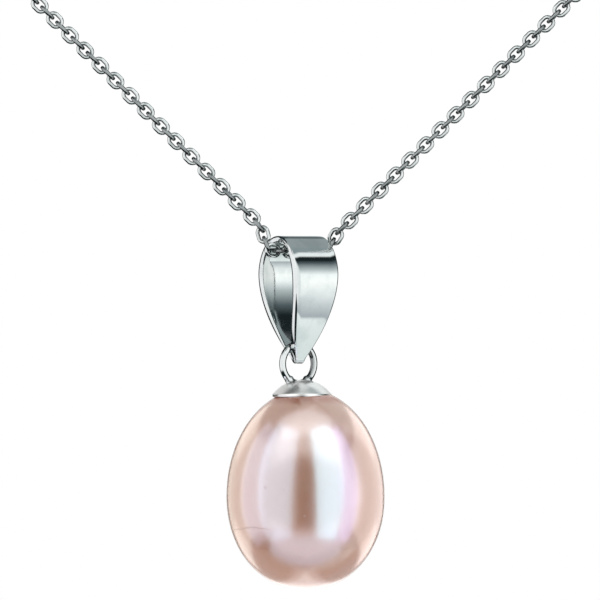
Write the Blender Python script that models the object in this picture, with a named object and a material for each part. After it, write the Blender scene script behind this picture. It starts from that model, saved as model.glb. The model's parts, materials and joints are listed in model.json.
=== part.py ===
"""Pearl pendant necklace: a drop pearl on a strap bail, on a fine cable chain with a spring ring clasp.

The chain lies as it is worn. It falls in a straight V from the neck to the pendant at the front (-Y)
and runs round both sides of the neck to the clasp at the nape (+Y). +Z is up. The origin is the middle
of the neck opening, level with the widest part of the chain.
"""

import math

import bmesh
import bpy
import numpy as np
from mathutils import Matrix, Vector

MM = 0.001

# Chain: cable links of round wire, alternate links turned a quarter
CHAIN_LENGTH = 450 * MM  # all the way round, clasp included
LINK_PITCH = 0.65 * MM
LINK_WIDTH = 0.92 * MM
LINK_WIRE = 0.24 * MM
LINK_PLAY = 0.03 * MM  # between the wires of two hooked links
NEAR_LINKS = 9  # links modelled one by one on each side of the bail
END_LINKS = 3  # links modelled one by one at each end of the chain
RUNS = 6  # lengths that the rest of each side is divided into
RUN_GAP = 0.30 * MM  # between two of those lengths

# Course of the chain round the neck
NECK_WIDTH = 122 * MM
SIDE_RISE = 62 * MM  # widest part of the chain above the point of the V
NAPE_RISE = 76 * MM  # clasp above the point of the V
NAPE_FLAT = 9.5 * MM  # straight stretch at the nape, each side of the clasp's middle
V_SLOPE = math.radians(45)
V_REACH = 30 * MM  # how far out to each side the V stays straight
V_DROP = 1.93 * MM  # the V's sides would meet this far under the top of the bail
MOUTH_REACH = 0.35 * MM  # the chain stays level this far outside the bail
MOUTH_RISE = 0.80 * MM  # and joins the V this much further out
MOUTH_BEND = 0.60 * MM  # length of the handles of the curve between the two
SIDE_AT = 0.45  # place of the widest part, as a share of the depth from front to back
SIDE_CLIMB = 0.42  # how steeply the chain climbs there
SIDE_BEND = 0.40  # handles of the two long curves, as shares of their lengths
NAPE_BEND = 0.42

# Bail: polished strap bent to a closed drop shape
BAIL_TURN = math.radians(37)  # about the vertical, from facing the front
BAIL_SHIFT = -0.25 * MM  # from the middle of the V
BAIL_HEIGHT = 7.75 * MM
BAIL_WIDTH = 3.34 * MM
BAIL_DEPTH = 3.82 * MM
BAIL_CROWN = 2.50 * MM  # height of the rounded top, above the deepest place
BAIL_WAIST = 0.555  # shares of the height, from the top: where the sides' curve leaves the vertical
BAIL_HEEL = (0.249, 0.787)  # its lower handle, as shares of the depth and the height
BAIL_LEAN = math.radians(35)  # how far the sides lean in near the foot
BAIL_HEEL_ROUND = 0.18 * MM
BAIL_NOSE = 0.28 * MM  # radius of the inside bottom, that the ring hangs in
BAIL_TAPER = (0.245, 0.465, 0.781)  # shares of the height: end of full width and the taper's handles
BAIL_BELLY = 0.72  # width at the lower handle, as a share of the full width
BAIL_TIP = 0.72 * MM  # width of the strap at its foot
BAIL_TIP_RISE = 0.25 * MM  # height of that width above the bottom
BAIL_WALL = 0.42 * MM
BAIL_FOOT = 0.73 * MM  # solid metal under the loop, where the strap's two ends join
BAIL_CHAIN_GAP = 0.04 * MM

# Ring that joins the cap to the bail
RING_WIDTH = 2.80 * MM
RING_WIRE = 0.42 * MM
RING_PLAY = 0.05 * MM

# Cap, peg and pearl
CAP_WIDTH = 3.58 * MM
CAP_HEIGHT = 0.98 * MM
CAP_RIM = 0.12 * MM
CAP_ROUND = 2.5  # power of the dome's fall from its middle to its rim
CAP_SHIFT = 0.22 * MM  # cap from the middle of the bail
CAP_SEAT = 0.42 * MM  # how far the ring sinks into the cap
SEAT_GAP = 0.03 * MM
PEG_WIRE = 0.80 * MM
PEG_LENGTH = 5.20 * MM
HOLE_PLAY = 0.05 * MM  # round the peg, filled with cement
HOLE_DEPTH = 5.60 * MM
PEARL_WIDTH = 9.60 * MM
PEARL_TOP = 6.45 * MM  # from the widest place to the drilled end
PEARL_FOOT = 5.73 * MM  # from the widest place to the lower end
PEARL_FULLNESS = 2.1  # 2 is an ellipse, and more makes the lower end squarer
PEARL_SHIFT = 0.22 * MM  # pearl from the middle of the cap

# Spring ring clasp and its fittings
CLASP_WIDTH = 5.40 * MM
CLASP_TUBE = 1.20 * MM
CLASP_CHANNEL = 0.72 * MM
BOLT_WIRE = 0.60 * MM
CLASP_GAP = (56, 100)  # degrees round the clasp from +X towards +Z
BOLT_SPAN = (51, 181)
SPRING_SPAN = (184, 286)
CHANNEL_END = 288
SOCKET_PLAY = 3  # degrees of free space past the closed bolt's tip
CUT_PAST = 4  # degrees that the channel's cutters run out into the gap
BOLT_TRAVEL = 47  # degrees
KNOB_AT = 108
KNOB_WIRE = 0.40 * MM
KNOB_HEAD = 0.80 * MM
KNOB_REACH = 0.75 * MM  # how far the thumb knob's middle stands off the tube
SLOT_PLAY = 0.08 * MM
SPRING_WIRE = 0.10 * MM
SPRING_TURNS = 11
SPRING_PLAY = 0.05 * MM  # round the coil, in the channel
EYE_WIDTH = 1.80 * MM
EYE_WIRE = 0.35 * MM
JUMP_WIDTH = 2.40 * MM
JUMP_WIRE = 0.35 * MM
TAB_JUMP_WIDTH = 1.75 * MM
TAB_JUMP_WIRE = 0.30 * MM
TAB_HOLE = 1.90 * MM
TAB_EYE = 0.90 * MM
TAB_LENGTH = 2.80 * MM  # between its two holes
TAB_RIM = 0.45 * MM
TAB_THICKNESS = 0.30 * MM
FITTING_PLAY = 0.03 * MM

SILVER = (0.80, 0.81, 0.80)
NACRE = (0.86, 0.66, 0.56)
SPRING_STEEL = (0.55, 0.56, 0.57)


def clear_scene():
    for obj in list(bpy.data.objects):
        bpy.data.objects.remove(obj, do_unlink=True)


def new_collection(name):
    collection = bpy.data.collections.new(name)
    bpy.context.scene.collection.children.link(collection)
    return collection


def new_material(name, colour, roughness, metallic):
    material = bpy.data.materials.new(name)
    material.use_nodes = True
    shader = material.node_tree.nodes["Principled BSDF"]
    shader.inputs["Base Color"].default_value = (*colour, 1)
    shader.inputs["Roughness"].default_value = roughness
    shader.inputs["Metallic"].default_value = metallic
    return material


def add(name, data, place, collection, colour, roughness=0.15, metallic=1.0, parent=None):
    """One named piece with a material of its own. place is its matrix, in its parent's space."""
    obj = bpy.data.objects.new(name, data)
    collection.objects.link(obj)
    obj.parent = parent
    obj.matrix_local = place
    material = new_material(name + "_finish", colour, roughness, metallic)
    if not data.materials:
        data.materials.append(None)
    obj.material_slots[0].link = "OBJECT"
    obj.material_slots[0].material = material
    return obj


def add_pivot(name, place, collection, parent=None):
    pivot = bpy.data.objects.new(name, None)
    pivot.empty_display_size = 2 * MM
    collection.objects.link(pivot)
    pivot.parent = parent
    pivot.matrix_local = place
    return pivot


def hide_cutter(obj):
    obj.hide_render = True
    obj.display_type = "WIRE"


def smooth(data):
    data.shade_smooth()
    data.set_sharp_from_angle(angle=math.radians(40))


def place_at(point, x_axis=(1, 0, 0), z_axis=(0, 0, 1)):
    """A matrix at point whose local X runs along x_axis, with local Z as near to z_axis as it can be."""
    along = Vector(x_axis).normalized()
    across = Vector(z_axis).cross(along).normalized()
    turn = Matrix((along, across, along.cross(across))).transposed()
    return Matrix.Translation(Vector(point)) @ turn.to_4x4()


def wire_curve(name, points, radius, closed=False, resolution=1):
    """A round wire through the points. resolution 0, 1 and 2 give it 4, 6 and 8 sides."""
    curve = bpy.data.curves.new(name, "CURVE")
    curve.dimensions = "3D"
    curve.bevel_depth = radius
    curve.bevel_resolution = resolution
    curve.use_fill_caps = True
    spline = curve.splines.new("POLY")
    spline.points.add(len(points) - 1)
    for target, point in zip(spline.points, points):
        target.co = (*point, 1)
    spline.use_cyclic_u = closed
    return curve


def flat_curve(name, outlines, thickness):
    """A plate of the given thickness, in the XY plane. A second outline inside the first is a hole."""
    curve = bpy.data.curves.new(name, "CURVE")
    curve.dimensions = "2D"
    curve.fill_mode = "BOTH"
    curve.extrude = thickness / 2
    for outline in outlines:
        spline = curve.splines.new("POLY")
        spline.points.add(len(outline) - 1)
        for target, point in zip(spline.points, outline):
            target.co = (point[0], point[1], 0, 1)
        spline.use_cyclic_u = True
    return curve


def mesh_of(name, curve):
    """The mesh of a curve, with its loose caps welded on."""
    holder = bpy.data.objects.new(name, curve)
    bpy.context.scene.collection.objects.link(holder)
    graph = bpy.context.evaluated_depsgraph_get()
    mesh = bpy.data.meshes.new_from_object(holder.evaluated_get(graph))
    bpy.data.objects.remove(holder)
    mesh.name = name
    shape = bmesh.new()
    shape.from_mesh(mesh)
    bmesh.ops.remove_doubles(shape, verts=shape.verts, dist=0.001 * MM)
    bmesh.ops.recalc_face_normals(shape, faces=shape.faces)
    shape.to_mesh(mesh)
    shape.free()
    return mesh


def turned_mesh(name, profile, steps):
    """The solid that a profile of (radius, height) makes when it is spun about Z."""
    shape = bmesh.new()
    points = [shape.verts.new((radius, 0, height)) for radius, height in profile]
    edges = [shape.edges.new(pair) for pair in zip(points, points[1:])]
    bmesh.ops.spin(
        shape,
        geom=points + edges,
        cent=(0, 0, 0),
        axis=(0, 0, 1),
        angle=2 * math.pi,
        steps=steps,
        use_merge=True,
    )
    bmesh.ops.remove_doubles(shape, verts=shape.verts, dist=0.001 * MM)
    bmesh.ops.recalc_face_normals(shape, faces=shape.faces)
    mesh = bpy.data.meshes.new(name)
    shape.to_mesh(mesh)
    shape.free()
    return mesh


def boolean(obj, cutter, operation="DIFFERENCE"):
    modifier = obj.modifiers.new(operation.title(), "BOOLEAN")
    modifier.operation = operation
    modifier.object = cutter
    hide_cutter(cutter)


def circle_points(radius, count):
    turns = np.arange(count) * 2 * math.pi / count
    return [(radius * math.cos(a), radius * math.sin(a), 0) for a in turns]


def arc_points(radius, start, end, count):
    """Points on a circle in the XZ plane, by angle in degrees from +X towards +Z."""
    angles = np.radians(np.linspace(start, end, count))
    return [(radius * math.cos(a), 0, radius * math.sin(a)) for a in angles]


def bezier(p0, p1, p2, p3, count):
    t = np.linspace(0, 1, count)[:, None]
    points = np.array([p0, p1, p2, p3], float)
    weights = np.hstack([(1 - t) ** 3, 3 * t * (1 - t) ** 2, 3 * t * t * (1 - t), t**3])
    return weights @ points


def bail_axis():
    return np.array([math.cos(BAIL_TURN), math.sin(BAIL_TURN), 0])


def tunnel_height():
    """The chain's middle under the top of the bail, where a link on edge just clears the strap."""
    return -(BAIL_WALL + BAIL_CHAIN_GAP + LINK_WIDTH / 2)


def strand(side, depth):
    """One side of the chain's course, from the middle of the bail to the middle of the nape.

    It is in the pendant's space, with the top of the bail's strap at height 0. depth is front to back.
    """
    slope = np.array([side * math.cos(V_SLOPE), 0, math.sin(V_SLOPE)])
    middle = np.array([BAIL_SHIFT, 0, tunnel_height()])
    mouth = middle + side * bail_axis() * (BAIL_WIDTH / 2 + MOUTH_REACH)
    start = mouth + side * np.array([MOUTH_RISE, 0, 0])
    start[2] = abs(start[0]) * math.tan(V_SLOPE) - V_DROP
    corner = np.array([side * V_REACH, 0, V_REACH * math.tan(V_SLOPE) - V_DROP])
    widest = np.array([side * NECK_WIDTH / 2, SIDE_AT * depth, SIDE_RISE - V_DROP])
    nape = np.array([0, depth, NAPE_RISE - V_DROP])
    nape_side = nape + np.array([side * NAPE_FLAT, 0, 0])
    run = corner - start
    run /= np.linalg.norm(run)
    near = SIDE_BEND * np.linalg.norm(widest - corner)
    far = NAPE_BEND * np.linalg.norm(nape_side - widest)
    climb = np.array([0, 1, SIDE_CLIMB])
    climb /= np.linalg.norm(climb)
    out = MOUTH_BEND * side * bail_axis()
    parts = [
        np.linspace(middle, mouth, 12),
        bezier(mouth, mouth + out, start - MOUTH_BEND * run, start, 24),
        np.linspace(start, corner, 60),
        bezier(corner, corner + near * slope, widest - near * climb, widest, 120),
        bezier(
            widest, widest + far * climb, nape_side + far * np.array([side, 0, 0]), nape_side, 160
        ),
        np.linspace(nape_side, nape, 20),
    ]
    return np.vstack([parts[0]] + [part[1:] for part in parts[1:]])


def length_of(points):
    return float(np.linalg.norm(np.diff(points, axis=0), axis=1).sum())


def neck_depth():
    """The depth, front to back, with which both sides together come to the chain's length."""
    low, high = 60 * MM, 200 * MM
    for _ in range(40):
        depth = (low + high) / 2
        if length_of(strand(-1, depth)) + length_of(strand(1, depth)) < CHAIN_LENGTH:
            low = depth
        else:
            high = depth
    return depth


def point_at(points, distance):
    """The point that far along the polyline."""
    steps = np.linalg.norm(np.diff(points, axis=0), axis=1)
    along = np.concatenate([[0], np.cumsum(steps)])
    return np.array([np.interp(distance, along, points[:, axis]) for axis in range(3)])


def joints_along(points, count, first):
    """Places along the polyline where links hook, each a pitch from the last in a straight line."""
    found = [point_at(points, first)]
    reached = first
    for _ in range(count):
        low, high = reached, reached + 2 * LINK_PITCH
        for _ in range(40):
            middle = (low + high) / 2
            if np.linalg.norm(point_at(points, middle) - found[-1]) < LINK_PITCH:
                low = middle
            else:
                high = middle
        reached = middle
        found.append(point_at(points, reached))
    return found, reached


def link_points():
    """Middle line of one link: an oval with straight sides, along X, in its own XY plane."""
    bend = (LINK_WIDTH - LINK_WIRE) / 2
    reach = (LINK_PITCH + LINK_WIRE + LINK_PLAY) / 2
    flat = reach - bend
    points = []
    for centre, start in ((flat, -90), (-flat, 90)):
        for angle in np.radians(np.linspace(start, start + 180, 7)):
            points.append((centre + bend * math.cos(angle), bend * math.sin(angle), 0))
    return points


def add_link(name, start, end, on_edge, kit):
    """A link between two hooking places. on_edge turns it a quarter about its length."""
    middle = (np.array(start) + np.array(end)) / 2
    along = np.array(end) - np.array(start)
    along /= np.linalg.norm(along)
    level = np.cross([0, 0, 1], along)
    level /= np.linalg.norm(level)
    normal = np.cross(along, level) if on_edge else level
    return add(name, kit["link"], place_at(middle, along, normal), kit["parts"], SILVER)


def add_chain_side(side, word, points, end_place, kit):
    """Links beside the bail, plain lengths round the neck and links at the end, on one side."""
    joints, reached = joints_along(points, NEAR_LINKS, LINK_PITCH / 2)
    for number in range(NEAR_LINKS):
        add_link(
            f"{word}_link_{number + 1}",
            joints[number],
            joints[number + 1],
            number % 2 == 1,
            kit,
        )
    total = length_of(points)
    end = total - end_place
    back = points[::-1]
    tail, tail_reached = joints_along(back, END_LINKS, end_place)
    for number in range(END_LINKS):
        add_link(
            f"{word}_end_link_{number + 1}",
            tail[number],
            tail[number + 1],
            number % 2 == (1 if side < 0 else 0),
            kit,
        )
    hook = (LINK_WIRE + LINK_PLAY) / 2 + LINK_WIRE / 2 + LINK_PLAY
    first = reached + hook
    last = end - (tail_reached - end_place) - hook
    run = (last - first - (RUNS - 1) * RUN_GAP) / RUNS
    for number in range(RUNS):
        start = first + number * (run + RUN_GAP)
        places = [point_at(points, d) for d in np.linspace(start, start + run, 15)]
        centre = np.mean(places, axis=0)
        name = f"{word}_chain_{number + 1}"
        curve = wire_curve(name, [p - centre for p in places], LINK_WIDTH / 2, resolution=1)
        add(name, curve, Matrix.Translation(Vector(centre)), kit["parts"], SILVER)


def bail_loop(inset, foot_radius, foot_height):
    """Outline of the drop shape as (across, height), from the top round and back, moved in by inset.

    The top is half an ellipse. Each side is a Bezier curve from the deepest place down to the foot,
    which is a small arc.
    """
    half_depth = BAIL_DEPTH / 2 - inset
    crown = BAIL_CROWN - inset
    waist_height = inset * math.tan(BAIL_LEAN / 2) - BAIL_WAIST * BAIL_HEIGHT
    heel_across = BAIL_HEEL[0] * BAIL_DEPTH - inset * math.cos(BAIL_LEAN)
    heel_height = inset * math.sin(BAIL_LEAN) - BAIL_HEEL[1] * BAIL_HEIGHT
    top = [
        (half_depth * math.sin(a), crown * math.cos(a) - BAIL_CROWN)
        for a in np.linspace(0, math.pi / 2, 10)
    ]
    flank = bezier(
        (half_depth, -BAIL_CROWN),
        (half_depth, waist_height),
        (heel_across, heel_height),
        (foot_radius, foot_height + foot_radius),
        13,
    )[1:]
    heel = [
        (foot_radius * math.cos(a), foot_height + foot_radius * (1 - math.sin(a)))
        for a in np.linspace(0, math.pi / 2, 4)[1:]
    ]
    right = top + [tuple(p) for p in flank] + heel
    left = [(-x, z) for x, z in reversed(right[1:-1])]
    return right + left


def bail_front():
    """Outline of the strap seen square on, as (across, height): straight above, narrowing to the foot."""
    half = BAIL_WIDTH / 2
    tip = BAIL_TIP / 2
    tip_height = BAIL_TIP_RISE - BAIL_HEIGHT
    taper_top, upper, lower = (-share * BAIL_HEIGHT for share in BAIL_TAPER)
    flank = bezier((half, taper_top), (half, upper), (BAIL_BELLY * half, lower), (tip, tip_height), 14)
    end = [
        (tip * math.cos(a), tip_height - (BAIL_TIP_RISE + tip) * math.sin(a))
        for a in np.linspace(0, math.pi / 2, 5)[1:]
    ]
    right = [(half, BAIL_CROWN / 2)] + [tuple(p) for p in flank] + end
    return right + [(-x, z) for x, z in reversed(right[:-1])]


def bail_foot_height():
    """Inside bottom of the loop, under the top of the bail."""
    return BAIL_FOOT - BAIL_HEIGHT


def bail_half_width_at(height):
    """Half the strap's width at that height."""
    outline = [p for p in bail_front() if p[0] >= 0 and p[1] <= 0]
    widths, heights = zip(*sorted(outline, key=lambda p: p[1]))
    return float(np.interp(height, heights, widths))


def add_bail(kit, parent, place):
    outer = bail_loop(0, BAIL_HEEL_ROUND, -BAIL_HEIGHT)
    inner = bail_loop(BAIL_WALL, BAIL_NOSE, bail_foot_height())
    # Local X of the plate is the strap's depth, local Y is up, and it is as thick as the strap is wide.
    stand = Matrix(((0, 0, 1, 0), (1, 0, 0, 0), (0, 1, 0, 0), (0, 0, 0, 1)))
    strap = mesh_of("bail_strap", flat_curve("bail_strap", [outer, inner], BAIL_WIDTH))
    strap.transform(stand)
    smooth(strap)
    bail = add("bail", strap, place, kit["parts"], SILVER, parent=parent)
    front = mesh_of("bail_front", flat_curve("bail_front", [bail_front()], 3 * BAIL_DEPTH))
    front.transform(Matrix.Rotation(math.pi / 2, 4, "X"))
    trim = add("bail_trim", front, place, kit["cutters"], SILVER, parent=parent)
    boolean(bail, trim, "INTERSECT")
    return bail


def ring_height():
    """Middle of the ring under the top of the bail: its wire rests on the edges of the strap's foot."""
    inside = RING_WIDTH / 2 - RING_WIRE
    rest = bail_foot_height() + RING_PLAY
    return rest - math.sqrt(inside**2 - bail_half_width_at(bail_foot_height()) ** 2)


def cap_height():
    """Top of the cap under the top of the bail."""
    return ring_height() - RING_WIDTH / 2 + CAP_SEAT


def pearl_centre():
    """Widest place of the pearl under the top of the bail, where its shoulder meets the cap's rim."""
    share = CAP_WIDTH / PEARL_WIDTH
    shoulder = PEARL_TOP * math.sqrt(1 - share**2)
    return cap_height() - CAP_HEIGHT - SEAT_GAP - shoulder


def pearl_mesh(name, grow):
    """The pearl's egg shape, grown outwards by that much. Its lower end is a little fuller."""
    shape = bmesh.new()
    bmesh.ops.create_uvsphere(shape, u_segments=28, v_segments=18, radius=1)
    for vert in shape.verts:
        height = vert.co.z
        ring = math.hypot(vert.co.x, vert.co.y)
        if height < 0:
            spread = max(0.0, 1 - abs(height) ** PEARL_FULLNESS) ** (1 / PEARL_FULLNESS)
            scale = spread / ring if ring > 1e-6 else 0
            vert.co.x *= scale
            vert.co.y *= scale
        vert.co.x *= PEARL_WIDTH / 2 + grow
        vert.co.y *= PEARL_WIDTH / 2 + grow
        vert.co.z *= (PEARL_TOP if height > 0 else PEARL_FOOT) + grow
    bmesh.ops.recalc_face_normals(shape, faces=shape.faces)
    mesh = bpy.data.meshes.new(name)
    shape.to_mesh(mesh)
    shape.free()
    smooth(mesh)
    return mesh


def cylinder_mesh(name, radius, bottom, top, sides=20):
    shape = bmesh.new()
    bmesh.ops.create_cone(
        shape,
        cap_ends=True,
        segments=sides,
        radius1=radius,
        radius2=radius,
        depth=top - bottom,
        matrix=Matrix.Translation((0, 0, (top + bottom) / 2)),
    )
    mesh = bpy.data.meshes.new(name)
    shape.to_mesh(mesh)
    shape.free()
    smooth(mesh)
    return mesh


def cap_profile():
    """Outside of the cap as (radius, height), a low dome with a rounded rim, closed underneath."""
    half = CAP_WIDTH / 2
    fall = CAP_HEIGHT - CAP_RIM
    dome = [(half * share, -fall * share**CAP_ROUND) for share in np.linspace(0, 1, 8)]
    bottom = -CAP_HEIGHT - CAP_RIM
    return dome + [(half, -CAP_HEIGHT), (half - CAP_RIM, bottom), (0, bottom)]


def add_drop(kit, parent, pivot):
    """Ring, cap, peg and pearl. pivot is the parent's place, so that heights count from the bail's top."""
    to_parent = pivot.inverted()
    axis = Vector(bail_axis())
    ring_at = Vector((BAIL_SHIFT, 0, ring_height()))
    facing = Vector((-axis.y, axis.x, 0))
    ring = wire_curve(
        "drop_ring",
        circle_points((RING_WIDTH - RING_WIRE) / 2, 28),
        RING_WIRE / 2,
        closed=True,
        resolution=2,
    )
    ring_place = place_at(ring_at, axis, facing)
    add("drop_ring", ring, to_parent @ ring_place, kit["parts"], SILVER, parent=parent)

    cap_x = BAIL_SHIFT + CAP_SHIFT
    cap_place = Matrix.Translation((cap_x, 0, cap_height()))
    cap_mesh = turned_mesh("pearl_cap", cap_profile(), 32)
    smooth(cap_mesh)
    cap = add("pearl_cap", cap_mesh, to_parent @ cap_place, kit["parts"], SILVER, parent=parent)
    saddle = mesh_of(
        "ring_saddle",
        wire_curve(
            "ring_saddle",
            circle_points((RING_WIDTH - RING_WIRE) / 2, 28),
            RING_WIRE / 2 + SEAT_GAP,
            closed=True,
            resolution=2,
        ),
    )
    groove = add(
        "ring_saddle", saddle, to_parent @ ring_place, kit["cutters"], SILVER, parent=parent
    )
    boolean(cap, groove)

    pearl_x = cap_x + PEARL_SHIFT
    pearl_place = Matrix.Translation((pearl_x, 0, pearl_centre()))
    nacre = pearl_mesh("pearl", 0)
    pearl = add(
        "pearl", nacre, to_parent @ pearl_place, kit["parts"], NACRE, 0.2, 0, parent=parent
    )
    seat = add(
        "pearl_seat",
        pearl_mesh("pearl_seat", SEAT_GAP),
        to_parent @ pearl_place,
        kit["cutters"],
        NACRE,
        parent=parent,
    )
    boolean(cap, seat)

    # The peg's top stays under the cap's underside, over the drilled hole.
    peg_top = pearl_centre() + PEARL_TOP
    reach = PEG_WIRE / 2 + abs(PEARL_SHIFT)
    peg_top -= PEARL_TOP * (1 - math.sqrt(1 - (2 * reach / PEARL_WIDTH) ** 2))
    peg = cylinder_mesh("pearl_peg", PEG_WIRE / 2, -PEG_LENGTH, 0)
    peg_place = Matrix.Translation((cap_x, 0, peg_top))
    add("pearl_peg", peg, to_parent @ peg_place, kit["parts"], SILVER, 0.3, parent=parent)
    drill = cylinder_mesh("peg_hole", PEG_WIRE / 2 + HOLE_PLAY, -HOLE_DEPTH, 1 * MM)
    hole = add("peg_hole", drill, to_parent @ peg_place, kit["cutters"], NACRE, parent=parent)
    boolean(pearl, hole)


def clasp_radius():
    return (CLASP_WIDTH - CLASP_TUBE) / 2


def eye_x():
    """Middle of the soldered eye, left of the clasp."""
    return -(CLASP_WIDTH / 2 + FITTING_PLAY + EYE_WIDTH / 2)


def jump_x():
    inside = EYE_WIDTH / 2 - EYE_WIRE
    wire = eye_x() - inside + JUMP_WIRE / 2 + FITTING_PLAY
    return wire - (JUMP_WIDTH - JUMP_WIRE) / 2


def chain_end_left():
    """Where the chain's last left link hooks, measured left from the clasp's middle."""
    wire = jump_x() - (JUMP_WIDTH - JUMP_WIRE) / 2
    return -(wire + JUMP_WIRE / 2 + LINK_WIRE / 2 + LINK_PLAY) + (LINK_WIRE + LINK_PLAY) / 2


def tab_x():
    """Middle of the tab's large hole: its rim pulls on the inside of the clasp's tube."""
    return clasp_radius() - CLASP_TUBE / 2 - FITTING_PLAY + TAB_HOLE / 2


def tab_jump_x():
    wire = tab_x() + TAB_LENGTH + TAB_EYE / 2 - TAB_JUMP_WIRE / 2 - FITTING_PLAY
    return wire + (TAB_JUMP_WIDTH - TAB_JUMP_WIRE) / 2


def chain_end_right():
    """Where the chain's last right link hooks, measured right from the clasp's middle."""
    wire = tab_jump_x() + (TAB_JUMP_WIDTH - TAB_JUMP_WIRE) / 2
    return wire - TAB_JUMP_WIRE / 2 - LINK_WIRE / 2 - LINK_PLAY + (LINK_WIRE + LINK_PLAY) / 2


def tab_outline(count=14):
    """Two round ends of different size and the straight sides that touch both."""
    big = TAB_HOLE / 2 + TAB_RIM
    small = TAB_EYE / 2 + TAB_RIM
    lean = math.acos((big - small) / TAB_LENGTH)
    large_end = np.linspace(lean, 2 * math.pi - lean, count)
    small_end = np.linspace(-lean, lean, count)
    left = [(big * math.cos(a), big * math.sin(a)) for a in large_end]
    right = [(TAB_LENGTH + small * math.cos(a), small * math.sin(a)) for a in small_end]
    return left + right


def add_clasp(kit, centre):
    """Spring ring: a split tube that holds a sliding bolt and the spring behind it."""
    radius = clasp_radius()
    hub = Matrix.Translation(Vector(centre))
    clasp_pivot = add_pivot("clasp_pivot", hub, kit["parts"])
    here = Matrix.Identity(4)
    gap_low, gap_high = CLASP_GAP

    tube = mesh_of(
        "clasp_body",
        wire_curve(
            "clasp_body",
            arc_points(radius, gap_high, 360 + gap_low, 32),
            CLASP_TUBE / 2,
            resolution=2,
        ),
    )
    smooth(tube)
    body = add("clasp_body", tube, here, kit["parts"], SILVER, parent=clasp_pivot)
    for name, start, end in (
        ("bolt_channel", gap_high - CUT_PAST, CHANNEL_END),
        ("bolt_socket", BOLT_SPAN[0] - SOCKET_PLAY, gap_low + CUT_PAST),
    ):
        count = max(4, round((end - start) / 8))
        bore = mesh_of(
            name,
            wire_curve(name, arc_points(radius, start, end, count), CLASP_CHANNEL / 2, resolution=2),
        )
        boolean(body, add(name, bore, here, kit["cutters"], SILVER, parent=clasp_pivot))

    # Slot for the thumb knob, cut outwards from the channel
    slot_half = math.degrees((KNOB_WIRE / 2 + SLOT_PLAY) / radius)
    slot_angles = np.radians(np.linspace(KNOB_AT - slot_half, KNOB_AT + BOLT_TRAVEL + slot_half, 10))
    outer, inner = radius + CLASP_TUBE, radius
    slot_shape = [(outer * math.cos(a), outer * math.sin(a)) for a in slot_angles]
    slot_shape += [(inner * math.cos(a), inner * math.sin(a)) for a in reversed(slot_angles)]
    slot = mesh_of(
        "knob_slot", flat_curve("knob_slot", [slot_shape], KNOB_WIRE + 2 * SLOT_PLAY)
    )
    slot.transform(Matrix.Rotation(math.pi / 2, 4, "X"))
    boolean(body, add("knob_slot", slot, here, kit["cutters"], SILVER, parent=clasp_pivot))

    # Bolt with its thumb knob
    bolt_pivot = add_pivot("bolt_pivot", here, kit["parts"], parent=clasp_pivot)
    wire = mesh_of(
        "clasp_bolt",
        wire_curve("clasp_bolt", arc_points(radius, *BOLT_SPAN, 18), BOLT_WIRE / 2, resolution=2),
    )
    smooth(wire)
    bolt = add("clasp_bolt", wire, here, kit["parts"], SILVER, parent=bolt_pivot)
    lean = Matrix.Rotation(math.radians(90 - KNOB_AT), 4, "Y")
    stalk_top = radius + CLASP_TUBE / 2 + KNOB_REACH
    stalk = cylinder_mesh("knob_stalk", KNOB_WIRE / 2, radius, stalk_top, sides=12)
    boolean(
        bolt,
        add("knob_stalk", stalk, lean, kit["cutters"], SILVER, parent=bolt_pivot),
        "UNION",
    )
    head_shape = bmesh.new()
    bmesh.ops.create_uvsphere(head_shape, u_segments=12, v_segments=8, radius=KNOB_HEAD / 2)
    head_shape.transform(Matrix.Translation((0, 0, stalk_top)))
    head = bpy.data.meshes.new("knob_head")
    head_shape.to_mesh(head)
    head_shape.free()
    boolean(
        bolt,
        add("knob_head", head, lean, kit["cutters"], SILVER, parent=bolt_pivot),
        "UNION",
    )

    # Spring between the bolt's tail and the end of the channel
    coil = (CLASP_CHANNEL - SPRING_WIRE) / 2 - SPRING_PLAY
    steps = SPRING_TURNS * 7
    points = []
    for step in range(steps + 1):
        share = step / steps
        round_ring = math.radians(SPRING_SPAN[0] + share * (SPRING_SPAN[1] - SPRING_SPAN[0]))
        turn = 2 * math.pi * SPRING_TURNS * share
        reach = radius + coil * math.cos(turn)
        points.append(
            (reach * math.cos(round_ring), coil * math.sin(turn), reach * math.sin(round_ring))
        )
    spring = wire_curve("clasp_spring", points, SPRING_WIRE / 2, resolution=0)
    add("clasp_spring", spring, here, kit["parts"], SPRING_STEEL, parent=clasp_pivot)

    eye = wire_curve(
        "clasp_eye",
        circle_points((EYE_WIDTH - EYE_WIRE) / 2, 18),
        EYE_WIRE / 2,
        closed=True,
    )
    eye_place = place_at((eye_x(), 0, 0), (1, 0, 0), (0, 1, 0))
    add("clasp_eye", eye, eye_place, kit["parts"], SILVER, parent=clasp_pivot)


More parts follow.
